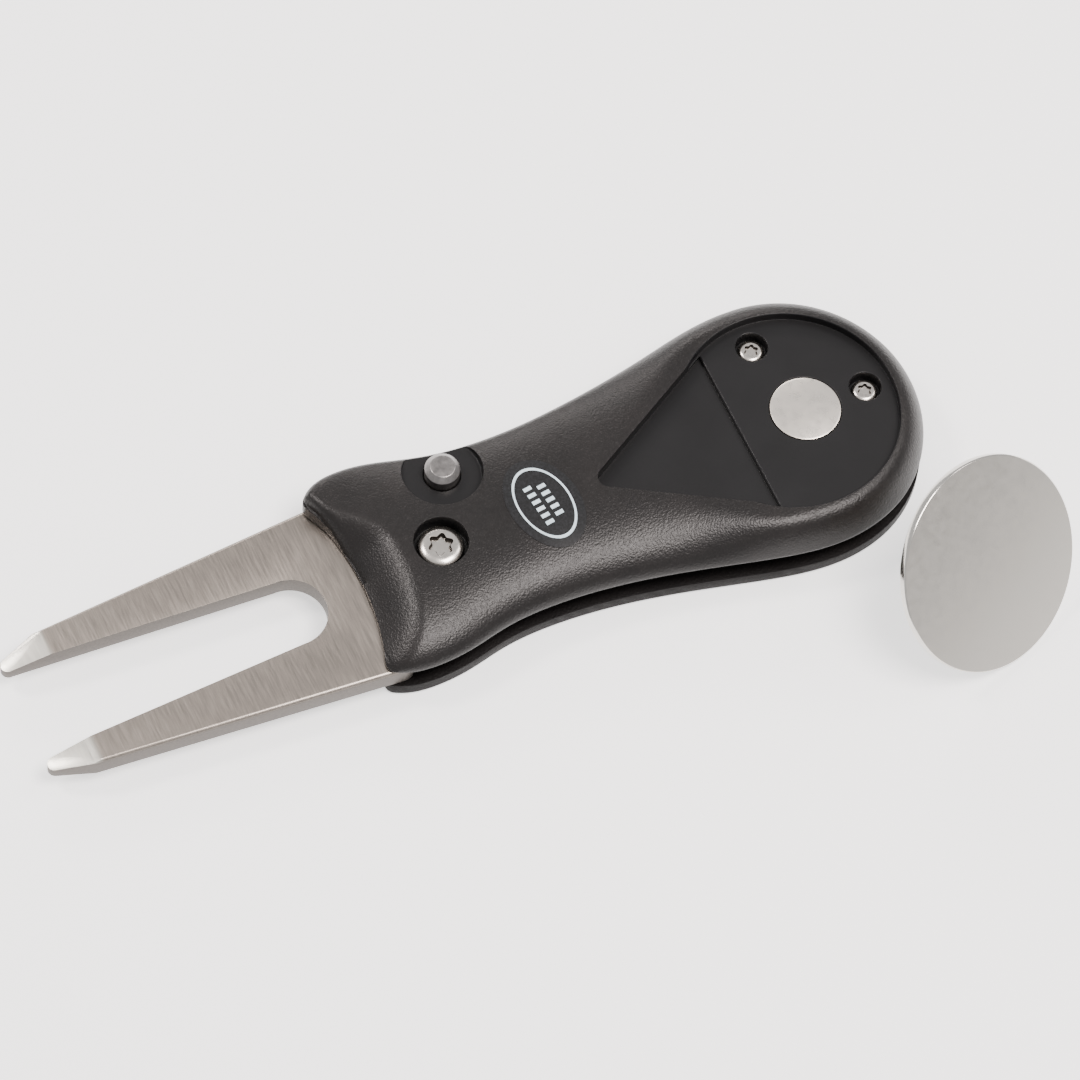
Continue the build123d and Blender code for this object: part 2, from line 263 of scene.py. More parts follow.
def coil_tree():
    """Wire of a given thickness wound on a circle between two heights."""
    tree, source, sink, add, join = node_tree("wire_coil", [
        ("Radius", "NodeSocketFloat"), ("Turns", "NodeSocketFloat"), ("Height", "NodeSocketFloat"),
        ("Wire", "NodeSocketFloat"), ("Place", "NodeSocketVector"), ("Finish", "NodeSocketMaterial")])
    helix = add("GeometryNodeCurveSpiral", Resolution=64)
    join(source, "Radius", helix, "Start Radius")
    join(source, "Radius", helix, "End Radius")
    join(source, "Turns", helix, "Rotations")
    join(source, "Height", helix, "Height")
    section = add("GeometryNodeCurvePrimitiveCircle", Resolution=12)
    join(source, "Wire", section, "Radius")
    tube = add("GeometryNodeCurveToMesh")
    tube.inputs["Fill Caps"].default_value = True
    join(helix, "Curve", tube, "Curve")
    join(section, "Curve", tube, "Profile Curve")
    move = add("GeometryNodeTransform")
    join(tube, "Mesh", move, "Geometry")
    join(source, "Place", move, "Translation")
    real = add("GeometryNodeRealizeInstances")
    join(move, "Geometry", real, "Geometry")
    finish = add("GeometryNodeSetMaterial")
    join(real, "Geometry", finish, "Geometry")
    join(source, "Finish", finish, "Material")
    join(finish, "Geometry", sink, "Geometry")
    return tree


spring_wire = bright_metal("spring_wire", (0.36, 0.36, 0.37), roughness=0.30)
coils = coil_tree()
WIRE_PLAY = 0.96               # share of the wire's CAD radius, so that its facets stay inside
for node, turns, wire_r in (("opening_spring", 2.0, 0.25 * MM), ("button_spring", 7.0, 0.15 * MM)):
    low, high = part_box(node)
    middle = (low + high) / 2
    tall = high.z - low.z
    mesh = run_tree(coils, node + "_coil", {
        "Radius": (high.x - low.x) / 2 - wire_r, "Turns": turns, "Wire": wire_r * WIRE_PLAY,
        "Height": tall - 2 * wire_r, "Place": (middle.x, middle.y, low.z + wire_r),
        "Finish": spring_wire})
    coil = finish_mesh(mesh, node + "_coil", [spring_wire])
    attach(coil, "handle")
    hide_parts(node)
    if node == "button_spring":
        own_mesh(coil)


# ---- Fork -----------------------------------------------------------------------
# The two-prong fork is blanked from 2.4 mm stainless sheet. Its faces are satin brushed
# across the prongs, its edges are broken, and the tips are ground to a lighter bevel.

def brushed_steel(name, face_colour, side_colour, ground_colour, ground_x):
    """Satin stainless: fine lines across the prongs, dull grainy sides and paler ground tips."""
    across_prongs = (4200.0, 230.0, 2600.0)
    grind_fade = (0.35 * MM, -0.55 * MM)
    mat, shader, add, join = new_material(name)
    where = add("ShaderNodeTexCoord")
    squeeze = add("ShaderNodeMapping")
    squeeze.inputs["Scale"].default_value = across_prongs
    join(where, "Object", squeeze, "Vector")
    lines = add("ShaderNodeTexNoise", Scale=1.0, Detail=4.0, Roughness=0.7)
    join(squeeze, "Vector", lines, "Vector")
    cloud = add("ShaderNodeTexNoise", Scale=140.0, Detail=3.0)
    join(where, "Object", cloud, "Vector")
    grit = add("ShaderNodeTexNoise", Scale=3800.0, Detail=4.0, Roughness=0.7)
    join(where, "Object", grit, "Vector")
    place = add("ShaderNodeSeparateXYZ")
    join(where, "Object", place, "Vector")
    facing = add("ShaderNodeSeparateXYZ")
    join(where, "Normal", facing, "Vector")

    def tone(colour, fleck, spread):
        """A colour that darkens by a share along its flecks."""
        shade = ramp_of(add, [(0.34, tuple(c * (1 - spread) for c in colour)), (0.66, colour)])
        join(fleck, "Fac", shade, "Fac")
        return shade

    def mixed(kind, factor, a, a_out, b, b_out):
        """A mix of two outputs by the first output of a third node."""
        mix = add("ShaderNodeMix", data_type=kind)
        join(factor, 0, mix, "Factor")
        join(a, a_out, mix, "A")
        join(b, b_out, mix, "B")
        return mix

    level = add("ShaderNodeMath", operation="ABSOLUTE")
    join(facing, "Z", level, "Value")
    upright = add("ShaderNodeMapRange")
    upright.inputs["From Min"].default_value = 0.30
    upright.inputs["From Max"].default_value = 0.75
    join(level, "Value", upright, "Value")
    top_side = add("ShaderNodeMath", operation="GREATER_THAN")
    join(facing, "Z", top_side, "Value")
    tip = add("ShaderNodeMapRange")
    tip.interpolation_type = "SMOOTHSTEP"
    tip.inputs["From Min"].default_value = ground_x + grind_fade[0]
    tip.inputs["From Max"].default_value = ground_x + grind_fade[1]
    join(place, "X", tip, "Value")
    ground = add("ShaderNodeMath", operation="MULTIPLY")
    join(tip, "Result", ground, 0)
    join(top_side, "Value", ground, 1)
    top_tone = mixed("RGBA", ground, tone(face_colour, lines, 0.16), "Color",
                     tone(ground_colour, lines, 0.10), "Color")
    whole = mixed("RGBA", upright, tone(side_colour, grit, 0.35), "Color", top_tone, "Result")
    join(whole, "Result", shader, "Base Color")
    rough_side = ramp_of(add, [(0.3, 0.42), (0.7, 0.60)])
    join(grit, "Fac", rough_side, "Fac")
    rough_face = ramp_of(add, [(0.3, 0.28), (0.7, 0.40)])
    join(lines, "Fac", rough_face, "Fac")
    rough = mixed("RGBA", upright, rough_side, "Color", rough_face, "Color")
    join(rough, "Result", shader, "Roughness")
    both = mixed("FLOAT", upright, grit, "Fac", lines, "Fac")
    bump = add("ShaderNodeBump", Strength=0.45, Distance=0.008 * MM)
    join(both, "Result", bump, "Height")
    join(bump, "Normal", shader, "Normal")
    shader.inputs["Metallic"].default_value = 1.0
    return mat


satin = brushed_steel("satin_fork_steel", face_colour=(0.315, 0.280, 0.245),
                      side_colour=(0.165, 0.152, 0.140), ground_colour=(0.66, 0.645, 0.585),
                      ground_x=-43.8 * MM)
fork = finished_copy("fork", "fork_blade", satin, edge=0.18, angle=40.0, crisp=20.0)
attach(fork, "fork")
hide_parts("fork")


# ---- Top shell ------------------------------------------------------------------
# The upper half of the handle, moulded in the same nylon: a low dome, rolled far over to
# the front and steeper at the back, with a hollow nose and smooth thumb and marker recesses.

TAIL_X = (-11.0, 1.0)          # where the nose end turns into the grip
RISE_X = (-4.0, 22.0)          # where the dome rises to its full height
GRIP_X = (16.0, 36.0)          # where the grip turns into the round head
CORNER_Y = (2.5, 10.6)         # where the nose turns up towards its back corner
FRONT_TURN = (-55.0, -12.0)    # degrees round the head where its front side ends
HEAD_ROLL = 3.3                # width of the rounding round the head
HEAD_X = 41.9                  # centre of the head, and its radius
HEAD_R = 15.65
FLOOR_Z = 4.9                  # its flat underside
LIP_Z = 5.05                   # where the rolled front side starts
WALL_Z = 5.6                   # top of the back side's upright wall along the grip
CROWN_Z = 8.7                  # top of the dome, and how much lower it is at the nose end
NOSE_DROP = 0.5
NOSE_ARC_X = -40.05            # centre of the hollow front edge, and its radius
NOSE_ARC_R = 30.7
NOSE_LIP_Z = 5.35              # the nose's slope: its foot, its steepness and its hollow
NOSE_SLOPE = 0.62
NOSE_HOLLOW = 0.06
NOSE_ROUND = 2.2               # width of the soft ridge between nose and dome
HORN_LIFT = 3.3                # how much higher the slope's foot is at the nose's back corner
HORN_WALL = 1.9                # how much taller the wall is there
HORN_EDGE = 1.1                # radius of that corner's rounded edge
THINNEST = 0.12                # least height of the outer surface over the underside
SPINE_X = -4.5                 # where the middle line of the dome starts
POCKET_X = 42.3                # centre of the marker pocket
MAGNET_X = 44.4                # centre of the magnet's seat in it
REAR_SCREWS = ((POCKET_X, 9.5), (51.8, 0))
BUTTON_AT = (3.9, 8.3)

# The bores as (radius, height) pairs from the floor up, most with a small chamfer at the rim.
POCKET_BORE = [(12.4, 7.5), (12.4, 8.6), (12.56, 8.73), (12.56, 10)]
MAGNET_BORE = [(4.06, 5.5), (4.06, 7.44), (4.14, 7.53), (4.14, 10)]
SCREW_BORE = [(1.8, 5.8), (1.8, 7.42), (1.9, 7.53), (1.9, 8)]
PIVOT_BORE = [(3.06, 6.0), (3.06, 10)]
BUTTON_DISH = [(4.35, 6.8), (4.5, 6.95), (4.62, 10)]
BUTTON_BORE = [(2.08, 4), (2.08, 6.72), (2.16, 6.83), (2.16, 8)]



def lower_edge_loop():
    """The corners of the CAD shell's lower edge, in order and counter-clockwise."""
    body = bmesh.new()
    body.from_mesh(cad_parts["top_shell"].data)
    bmesh.ops.remove_doubles(body, verts=body.verts, dist=SAME_PLACE)
    level, flat_on = 0.01, 0.99
    step = {}
    for edge in body.edges:
        if len(edge.link_faces) != 2:
            continue
        if any(abs(v.co.z / MM - FLOOR_Z) > level for v in edge.verts):
            continue
        flat = [abs(f.normal.z) > flat_on for f in edge.link_faces]
        if flat[0] != flat[1]:
            a, b = (v.index for v in edge.verts)
            step.setdefault(a, []).append(b)
            step.setdefault(b, []).append(a)
    places = {v.index: (v.co.x / MM, v.co.y / MM) for v in body.verts}
    body.free()
    start = max(step, key=lambda i: places[i][0])
    loop, last = [start], None
    while True:
        ahead = [i for i in step[loop[-1]] if i != last]
        last = loop[-1]
        if ahead[0] == start or (len(loop) > 2 and start in ahead):
            break
        loop.append(ahead[0])
    points = np.array([places[i] for i in loop])
    area = np.sum(points[:, 0] * np.roll(points[:, 1], -1) - np.roll(points[:, 0], -1) * points[:, 1])
    return points if area >= 0 else points[::-1]


def shell_outline(count):
    """The lower edge as evenly spaced points, as many along its back as along its front."""
    points = lower_edge_loop()
    gaps = np.linalg.norm(np.roll(points, -1, 0) - points, axis=1)
    along = np.concatenate([[0], np.cumsum(gaps)])
    ahead = np.roll(points, -1, 0) - points
    slope = ahead / gaps[:, None]
    tangent = slope * np.roll(gaps, 1)[:, None] + np.roll(slope, 1, 0) * gaps[:, None]
    tangent /= (gaps + np.roll(gaps, 1))[:, None]

    def place(spot):
        """The point a given way round the edge, on a smooth curve through its corners."""
        i = min(int(np.searchsorted(along, spot, side="right")) - 1, len(points) - 1)
        j = (i + 1) % len(points)
        t = (spot - along[i]) / gaps[i]
        a, b, c, d = 2*t**3 - 3*t**2 + 1, t**3 - 2*t**2 + t, -2*t**3 + 3*t**2, t**3 - t**2
        return a * points[i] + b * gaps[i] * tangent[i] + c * points[j] + d * gaps[i] * tangent[j]

    # The point at the nose on the middle line is found, so that back and front points pair up.
    turn = next(i for i in range(1, len(points)) if points[i][1] > 0 >= points[i + 1][1])
    near, far = along[turn], along[turn + 1]
    for _ in range(40):
        middle = (near + far) / 2
        near, far = (middle, far) if place(middle)[1] > 0 else (near, middle)
    half = count // 2
    ring = [place(spot) for spot in np.linspace(0, near, half, endpoint=False)]
    ring += [place(spot) for spot in np.linspace(near, along[-1], half, endpoint=False)]
    return np.array(ring)


def smooth_step(low, high, value):
    """0 below low, 1 above high, and an S curve between."""
    t = np.clip((value - low) / (high - low), 0.0, 1.0)
    return t * t * (3 - 2 * t)


OUTLINE = shell_outline(720)
HORN_REACH = np.array((-0.5, 0.12))    # how far the nose's back corner is filled out
for point in OUTLINE:
    nearness = min(max((point[1] - 6.5) / 4.0, 0), 1) * min(max((-6.0 - point[0]) / 4.5, 0), 1)
    point += HORN_REACH * smooth_step(0.0, 1.0, nearness)
back_edge = OUTLINE[(OUTLINE[:, 1] > 10.0) & (OUTLINE[:, 0] < HEAD_X)]
front_edge = OUTLINE[(OUTLINE[:, 1] < -10.0) & (OUTLINE[:, 0] < HEAD_X)]
back_edge = back_edge[np.argsort(back_edge[:, 0])]
front_edge = front_edge[np.argsort(front_edge[:, 0])]


def blend_low(a, b, width):
    """The lower of two heights, with a rounded join."""
    h = np.clip(0.5 + 0.5 * (b - a) / width, 0.0, 1.0)
    return b + (a - b) * h - width * h * (1 - h)


def shell_top(x, y):
    """Height of the top shell's outer surface, before its recesses.

    It blends a rolled front side with a fuller back side, and both with the nose's slope.
    Each side's section is a power of how far out the point lies, rounder at the head.
    """
    if x >= HEAD_X:
        inside = HEAD_R - math.hypot(x - HEAD_X, y)
        half = HEAD_R
        front = 1 - smooth_step(*FRONT_TURN, math.degrees(math.atan2(y, x - HEAD_X)))
    else:
        edge = back_edge if y > 0 else front_edge
        half = abs(np.interp(x, edge[:, 0], edge[:, 1]))
        near = abs(np.interp(x + 0.5, edge[:, 0], edge[:, 1]))
        far = abs(np.interp(x - 0.5, edge[:, 0], edge[:, 1]))
        inside = (half - abs(y)) / math.hypot(1, near - far)
        front = 0.0 if y > 0 else 1.0
    inside = max(inside, 0.0)
    head = smooth_step(*GRIP_X, x)
    tail = 1 - smooth_step(*TAIL_X, x)
    crown = CROWN_Z - NOSE_DROP * (1 - smooth_step(*RISE_X, x))
    width = (1 - head) * half * 0.98 + head * HEAD_ROLL
    off = 1 - min(inside / width, 1.0)
    rolled = LIP_Z + (crown - LIP_Z) * (1 - off ** (3 - 0.8 * head)) ** (0.6 + 0.25 * head)
    wall = WALL_Z - 0.55 * head + HORN_WALL * tail
    plain = wall + (crown - wall) * (1 - off * off) ** (0.36 + 0.26 * head)
    height = front * rolled + (1 - front) * plain
    ahead = math.hypot(x - NOSE_ARC_X, y) - NOSE_ARC_R
    corner = smooth_step(*CORNER_Y, y)
    nose = NOSE_LIP_Z + HORN_LIFT * corner + NOSE_SLOPE * ahead + NOSE_HOLLOW * ahead * ahead
    outer = float(blend_low(height, nose, NOSE_ROUND - corner))
    horn = max(corner, tail) if y > 0 else 0.0
    rim = 1 - min(max(min(ahead, inside), 0.0) / HORN_EDGE, 1.0)
    rounding = HORN_EDGE * horn * (1 - math.sqrt(1 - rim * rim))
    return max(outer - rounding, FLOOR_Z + THINNEST)


def shell_blank():
    """The shell before its recesses are cut: rings of points from the edge to the middle line.

    The near rings keep their distance from the edge; the far ones share what is left.
    """
    near = [0, .03, .08, .15, .25, .37, .5, .65, .82, 1.0, 1.2, 1.4, 1.6, 1.8, 2.0, 2.2, 2.45,
            2.7, 3.0, 3.3, 3.7]
    far = [k / 14 for k in range(1, 14)]
    partner = np.roll(OUTLINE[::-1], 1, 0)
    spine = np.clip((OUTLINE[:, 0] + partner[:, 0]) / 2, SPINE_X, HEAD_X)
    body = bmesh.new()
    rings = []
    for distance in near + far:
        ring = []
        for (x, y), middle_x in zip(OUTLINE, spine):
            ray = np.array([middle_x, 0.0]) - (x, y)
            length = np.linalg.norm(ray)
            reach = near[-1] / length
            t = distance / length if len(rings) < len(near) else reach + distance * (1 - reach)
            px, py = (x, y) + ray * t
            ring.append(body.verts.new((px * MM, py * MM, shell_top(px, py) * MM)))
        rings.append(ring)
    count = len(OUTLINE)
    seam = [body.verts.new((x * MM, 0, shell_top(x, 0) * MM)) for x in spine[:count // 2 + 1]]
    rings.append([seam[min(i, count - i)] for i in range(count)])
    floor = [body.verts.new((x * MM, y * MM, FLOOR_Z * MM)) for x, y in OUTLINE]
    rings.insert(0, floor)
    for outer, inner in zip(rings, rings[1:]):
        for i in range(count):
            j = (i + 1) % count
            corners = [outer[i], outer[j], inner[j], inner[i]]
            unique = list(dict.fromkeys(corners))
            if len(unique) > 2:
                body.faces.new(unique)
    body.faces.new(floor[::-1])
    bmesh.ops.remove_doubles(body, verts=body.verts, dist=5 * SAME_PLACE)
    bmesh.ops.recalc_face_normals(body, faces=body.faces)
    mesh = bpy.data.meshes.new("top_shell_blank")
    body.to_mesh(mesh)
    body.free()
    return mesh


def turned_cutter(name, at, profile, steps):
    """A round cutter: (radius, height) pairs turned about an upright axis.

    Its first corner is turned a little off the axes, clear of the blank's own corners.
    """
    offset = 0.37
    body = bmesh.new()
    rings = []
    for radius, height in profile:
        ring = []
        for k in range(steps):
            turn = 2 * math.pi * (k + offset) / steps
            ring.append(body.verts.new(((at[0] + radius * math.cos(turn)) * MM,
                                        (at[1] + radius * math.sin(turn)) * MM, height * MM)))
        rings.append(ring)
    for low, high in zip(rings, rings[1:]):
        for k in range(steps):
            body.faces.new((low[k], low[(k + 1) % steps], high[(k + 1) % steps], high[k]))
    body.faces.new(rings[0][::-1])
    body.faces.new(rings[-1])
    mesh = bpy.data.meshes.new(name)
    body.to_mesh(mesh)
    body.free()
    return mesh


def thumb_cutter():
    """Upright prism on the thumb recess's triangle, its tip rounded and its step's edge broken."""
    tip_x, step_x, half, round_r = 17.7, 36.4, 10.75, 1.3
    bends = 12
    levels = ((6.9, 0), (7.36, 0), (7.54, 0.18), (10, 0.18))
    lean = math.atan2(half, step_x - tip_x)
    centre = tip_x + round_r / math.sin(lean)
    plan = [(step_x, -half), (step_x, half)]
    for k in range(bends + 1):
        turn = math.pi / 2 + lean + (math.pi - 2 * lean) * k / bends
        plan.append((centre + round_r * math.cos(turn), round_r * math.sin(turn)))
    body = bmesh.new()
    rings = []
    for height, set_back in levels:
        ring = []
        for x, y in plan:
            shift = set_back if x == step_x else 0
            ring.append(body.verts.new(((x + shift) * MM, y * MM, height * MM)))
        rings.append(ring)
    for low, high in zip(rings, rings[1:]):
        for k in range(len(plan)):
            j = (k + 1) % len(plan)
            body.faces.new((low[k], low[j], high[j], high[k]))
    body.faces.new(rings[0][::-1])
    body.faces.new(rings[-1])
    mesh = bpy.data.meshes.new("thumb_cutter")
    body.to_mesh(mesh)
    body.free()
    return mesh


grained = moulded_plastic("grained_plastic", dark=(0.0042, 0.0034, 0.0032),
                          light=(0.0075, 0.0060, 0.0056), grain_size=GRAIN_SIZE,
                          grain_depth=0.060 * MM, rough_low=0.31, rough_high=0.40, specular=0.35)
smooth_recess = moulded_plastic("smooth_recess_plastic", dark=(0.0040, 0.0039, 0.0043),
                                light=(0.0056, 0.0055, 0.0060), grain_size=0.09 * MM,
                                grain_depth=0.0030 * MM, rough_low=0.34, rough_high=0.42,
                                specular=0.30)
top_shell = finish_mesh(shell_blank(), "top_shell_body", [grained, smooth_recess])
recesses = [
    turned_cutter("pocket_cutter", (POCKET_X, 0), POCKET_BORE, 240),
    thumb_cutter(),
    turned_cutter("magnet_cutter", (MAGNET_X, 0), MAGNET_BORE, 128),
    turned_cutter("side_screw_cutter", REAR_SCREWS[0], SCREW_BORE, 64),
    turned_cutter("end_screw_cutter", REAR_SCREWS[1], SCREW_BORE, 64),
    turned_cutter("pivot_cutter", (0, 0), PIVOT_BORE, 96),
    turned_cutter("dish_cutter", BUTTON_AT, BUTTON_DISH, 160),
    turned_cutter("button_hole_cutter", BUTTON_AT, BUTTON_BORE, 64),
]
for cutter_mesh in recesses:
    cutter = finish_mesh(cutter_mesh, cutter_mesh.name, [smooth_recess])
    cut = top_shell.modifiers.new(cutter.name, "BOOLEAN")
    cut.operation = "DIFFERENCE"
    cut.solver = "EXACT"
    cut.material_mode = "TRANSFER"
    cut.object = cutter
graph = bpy.context.evaluated_depsgraph_get()
cut_mesh = bpy.data.meshes.new_from_object(top_shell.evaluated_get(graph), depsgraph=graph)
for cutter in [m.object for m in top_shell.modifiers]:
    bpy.data.objects.remove(cutter)
bpy.data.objects.remove(top_shell)
cut_mesh.name = "top_shell_body"
top_shell = finish_mesh(cut_mesh, "top_shell_body", list(cut_mesh.materials), angle=32.0)
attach(top_shell, "handle")
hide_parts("top_shell")


# ---- Pivot screw and rear screws ------------------------------------------------
# Low pan-head screws with six-lobed sockets, plated steel. The big one closes the pivot
# sleeve; the two small ones clamp the shells together through the pocket floor.

def torx_screw(name, head_r, seat, top, socket_r, shank_r, shank_low):
    """One screw as rings of radius, wave and height, from its socket's floor out and down.

    A ring's wave is how far its radius swells and sinks, six times round.
    """
    steps = 96
    height = top - seat
    socket_floor = top - 0.42 * height
    rings = [(socket_r * 0.50, 0.0, socket_floor - 0.02), (socket_r * 0.76, 0.18, socket_floor),
             (socket_r * 0.78, 0.18, top - 0.22 * height), (socket_r * 0.92, 0.16, top - 0.02 * height)]
    # The socket's walls, between these levels, take material 1: near-black metal that is painted shade in
    # the socket.
    painted_shade_levels = (1, 2)
    dome = [(0.985, 0.80), (1.0, 0.62), (1.0, 0.30), (0.97, 0.12), (0.90, 0.0)]
    crown_r = socket_r * 1.15
    for k in range(9):
        r = crown_r + (0.93 * head_r - crown_r) * k / 8
        rings.append((r, 0.0, top - 0.34 * height * ((r - crown_r) / (head_r - crown_r)) ** 2.0))
    rings += [(head_r * f, 0.0, seat + height * h * 0.66) for f, h in dome]
    rings += [(shank_r, 0.0, seat), (shank_r, 0.0, shank_low + 0.3), (shank_r * 0.7, 0.0, shank_low)]
    body = bmesh.new()
    loops = []
    for radius, wave, z in rings:
        loop = []
        for k in range(steps):
            turn = 2 * math.pi * k / steps
            lobe = math.cos(6 * turn)
            r = radius * (1 + wave * (lobe if lobe > 0 else lobe * 0.9))
            loop.append(body.verts.new((r * math.cos(turn) * MM, r * math.sin(turn) * MM, z * MM)))
        loops.append(loop)
    for level, (inner, outer) in enumerate(zip(loops, loops[1:])):
        for k in range(steps):
            face = body.faces.new((inner[k], outer[k], outer[(k + 1) % steps], inner[(k + 1) % steps]))
            face.material_index = 1 if level in painted_shade_levels else 0
    body.faces.new(loops[0])
    body.faces.new(loops[-1][::-1])
    bmesh.ops.recalc_face_normals(body, faces=body.faces)
    mesh = bpy.data.meshes.new(name)
    body.to_mesh(mesh)
    body.free()
    return mesh


# Near-black metal on the socket walls of all three screws: painted shade in the sockets, not a finish of
# the steel.
dull_socket = bright_metal("dull_socket", (0.055, 0.048, 0.042), roughness=0.38)
pivot_mesh = torx_screw("pivot_screw_body", head_r=2.66, seat=6.0, top=7.5, socket_r=1.38,
                        shank_r=1.2, shank_low=1.6)
pivot_screw = finish_mesh(pivot_mesh, "pivot_screw_body", [plated, dull_socket])
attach(pivot_screw, "handle")
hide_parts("pivot_screw")


def copies_tree():
    """Puts one copy of a part on every point, with the finish on its faces of material 0."""
    tree, source, sink, add, join = node_tree("screw_copies", [
        ("Points", "NodeSocketGeometry"), ("Part", "NodeSocketObject"), ("Finish", "NodeSocketMaterial")])
    part = add("GeometryNodeObjectInfo")
    join(source, "Part", part, "Object")
    copies = add("GeometryNodeInstanceOnPoints")
    join(source, "Points", copies, "Points")
    join(part, "Geometry", copies, "Instance")
    real = add("GeometryNodeRealizeInstances")
    join(copies, "Instances", real, "Geometry")
    finish = add("GeometryNodeSetMaterial")
    join(real, "Geometry", finish, "Geometry")
    join(source, "Finish", finish, "Material")
    number = add("GeometryNodeInputMaterialIndex")
    outside = add("FunctionNodeCompare", data_type="INT", operation="EQUAL")
    join(number, "Material Index", outside, "A")
    join(outside, "Result", finish, "Selection")
    join(finish, "Geometry", sink, "Geometry")
    return tree


rear_places = bpy.data.meshes.new("rear_screw_places")
rear_places.from_pydata([(x * MM, y * MM, 0) for x, y in REAR_SCREWS], [], [])
small_mesh = torx_screw("rear_screw", head_r=1.5, seat=5.8, top=6.75, socket_r=0.80,
                        shank_r=0.8, shank_low=1.1)
one_screw = finish_mesh(small_mesh, "rear_screw_pattern", [plated, dull_socket])
mesh = run_tree(copies_tree(), "rear_screws_pair", {"Part": one_screw, "Finish": plated}, rear_places)
bpy.data.objects.remove(one_screw)
rear_screws = finish_mesh(mesh, "rear_screws_pair", [plated, dull_socket])
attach(rear_screws, "handle")
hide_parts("rear_screws")


# ---- Magnet ---------------------------------------------------------------------
# An 8 mm neodymium disc, nickel plated and with a rolled edge, pressed into the pocket's
# floor to hold the ball marker.

nickel = bright_metal("nickel_plate", (0.86, 0.80, 0.72), roughness=0.25, tint=0.02)
magnet = finished_copy("magnet", "magnet_disc", nickel, edge=0.22, crisp=20.0)
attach(magnet, "handle")
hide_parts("magnet")


# ---- Label ----------------------------------------------------------------------
# A small oval of clear film stuck on the dome behind the pivot, printed with a pale
# blue oval line round plain bars.

LABEL_AT = (12.35, -0.15)
LABEL_TURN = math.radians(97)
FILM_HALF = (5.9, 4.0)         # half sizes of the film's oval and of the printed line
LINE_HALF = (4.82, 3.02)
LINE_INNER = 0.925             # the line's inner edge as a share of its outer edge
BAR_ROWS = ((0.75, 6), (-0.75, 5))     # each row's place across the oval, and its bars
BAR_STEP = 0.95
BAR_HALF = (0.24, 0.48)


def speckled_coat(name, scale, detail, harshness, stops, roughness, specular):
    """A thin clear or printed layer with fine specks between two tones."""
    mat, shader, add, join = new_material(name)
    where = add("ShaderNodeTexCoord")
    specks = add("ShaderNodeTexNoise", Scale=scale, Detail=detail, Roughness=harshness)
    join(where, "Object", specks, "Vector")
    shade = ramp_of(add, stops)
    join(specks, "Fac", shade, "Fac")
    join(shade, "Color", shader, "Base Color")
    shader.inputs["Roughness"].default_value = roughness
    shader.inputs["Specular IOR Level"].default_value = specular
    return mat


def on_dome(u, v, lift):
    """A place along and across the label, lifted off the dome."""
    x = LABEL_AT[0] + u * math.cos(LABEL_TURN) - v * math.sin(LABEL_TURN)
    y = LABEL_AT[1] + u * math.sin(LABEL_TURN) + v * math.cos(LABEL_TURN)
    return x * MM, y * MM, (shell_top(x, y) + lift) * MM


def oval_film(name, half_sizes, lift, thick, inner=0.0):
    """An oval laid on the dome, or an oval ring where its inner edge is a share of the outer."""
    steps = 96
    radii = [1.0, 0.8, 0.6, 0.4, 0.2] if not inner else [1.0, (1 + inner) / 2, inner]
    body = bmesh.new()
    layers = []
    for level in (lift, lift + thick):
        rings = []
        for radius in radii:
            ring = []
            for k in range(steps):
                a = 2 * math.pi * k / steps
                u = half_sizes[0] * radius * math.cos(a)
                v = half_sizes[1] * radius * math.sin(a)
                ring.append(body.verts.new(on_dome(u, v, level)))
            rings.append(ring)
        layers.append(rings)
    for rings in layers:
        for outer, inside in zip(rings, rings[1:]):
            for k in range(steps):
                j = (k + 1) % steps
                body.faces.new((outer[k], outer[j], inside[j], inside[k]))
        if not inner:
            body.faces.new(rings[-1])
    for edge in ([0, -1] if inner else [0]):
        low, high = layers[0][edge], layers[1][edge]
        for k in range(steps):
            j = (k + 1) % steps
            body.faces.new((low[k], low[j], high[j], high[k]))
    bmesh.ops.recalc_face_normals(body, faces=body.faces)
    mesh = bpy.data.meshes.new(name)
    body.to_mesh(mesh)
    body.free()
    return mesh


def label_bars(low_lift, high_lift):
    """Two rows of short plain bars inside the oval line."""
    wide, tall = BAR_HALF
    body = bmesh.new()
    for row, count in BAR_ROWS:
        for k in range(count):
            u = (k - (count - 1) / 2) * BAR_STEP
            corners = [(u + du, row + dv) for du, dv in
                       ((-wide, -tall), (wide, -tall), (wide, tall), (-wide, tall))]
            low = [body.verts.new(on_dome(a, b, low_lift)) for a, b in corners]
            high = [body.verts.new(on_dome(a, b, high_lift)) for a, b in corners]
            body.faces.new(low[::-1])
            body.faces.new(high)
            for i in range(4):
                j = (i + 1) % 4
                body.faces.new((low[i], low[j], high[j], high[i]))
    mesh = bpy.data.meshes.new("label_bars")
    body.to_mesh(mesh)
    body.free()
    return mesh


film = speckled_coat("clear_film", scale=3600.0, detail=4.0, harshness=0.8,
                     stops=[(0.42, (0.0045, 0.0045, 0.0048)), (0.60, (0.0135, 0.0140, 0.0155))],
                     roughness=0.33, specular=0.35)
ink = speckled_coat("pale_ink", scale=2500.0, detail=2.0, harshness=0.5,
                    stops=[(0.3, (0.48, 0.60, 0.66)), (0.7, (0.62, 0.73, 0.78))],
                    roughness=0.5, specular=0.5)
film_mesh = oval_film("label_film_oval", FILM_HALF, lift=0.03, thick=0.03)
line_mesh = oval_film("label_ring", LINE_HALF, lift=0.062, thick=0.012, inner=LINE_INNER)
bars_mesh = label_bars(low_lift=0.060, high_lift=0.074)
label = finish_mesh(film_mesh, "label_film_oval", [film])
ring = finish_mesh(line_mesh, "label_ring", [ink])
bars = finish_mesh(bars_mesh, "label_bars", [ink])
for piece in (label, ring, bars):
    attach(piece, "handle")
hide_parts("label")


# ---- Release button -------------------------------------------------------------
# A turned steel pin with a chamfered top. Pressing it into its dish frees the fork.

